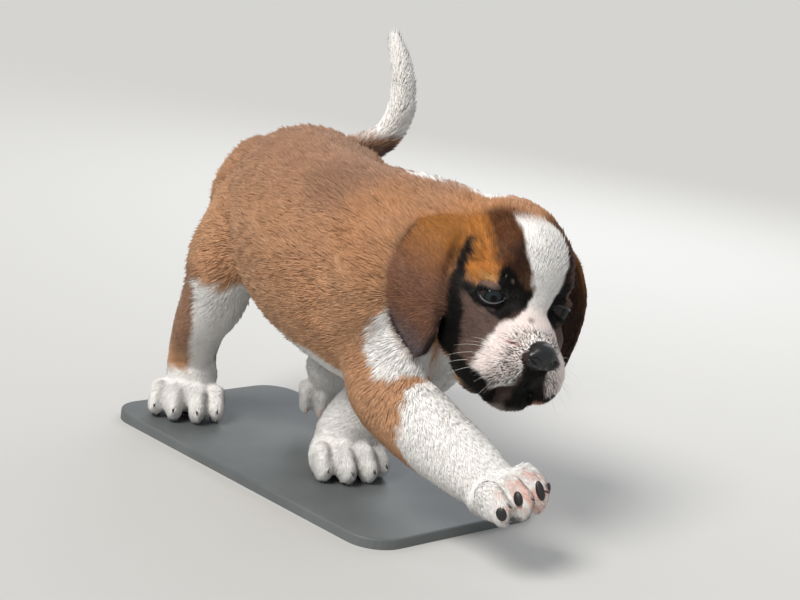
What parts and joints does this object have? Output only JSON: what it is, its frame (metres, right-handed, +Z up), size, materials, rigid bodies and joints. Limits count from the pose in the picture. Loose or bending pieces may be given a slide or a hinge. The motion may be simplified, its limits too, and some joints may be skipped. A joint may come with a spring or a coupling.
{
  "type": "saint bernard puppy model on a display base",
  "caption": "Still life-size model of a Saint Bernard puppy in mid-trot with one forepaw reaching ahead, standing on a flat display base.",
  "frame": {"origin": "centre of the model's box at the underside of the display base", "axes": "+X the way the puppy trots, +Y its left, +Z up"},
  "size_m": [0.4628, 0.2344, 0.3647],
  "materials": {
    "brown_coat": "short dense puppy coat, fawn brown",
    "dark_coat": "short velvety coat, dark brown",
    "white_coat": "short dense puppy coat, white",
    "nose_leather": "moist pebbled black skin",
    "eye": "polished glass eye",
    "base_board": "satin painted board"
  },
  "bodies": {
    "root": {"head": "brown_coat", "nose": "nose_leather", "eye_right": "eye", "eye_left": "eye", "ear_right": "dark_coat", "ear_left": "dark_coat", "neck": "brown_coat", "torso": "brown_coat", "tail": "white_coat", "foreleg_right": "white_coat", "foreleg_left": "white_coat", "hindleg_right": "white_coat", "hindleg_left": "white_coat", "stand_base": "base_board"}
  },
  "joints": []
}
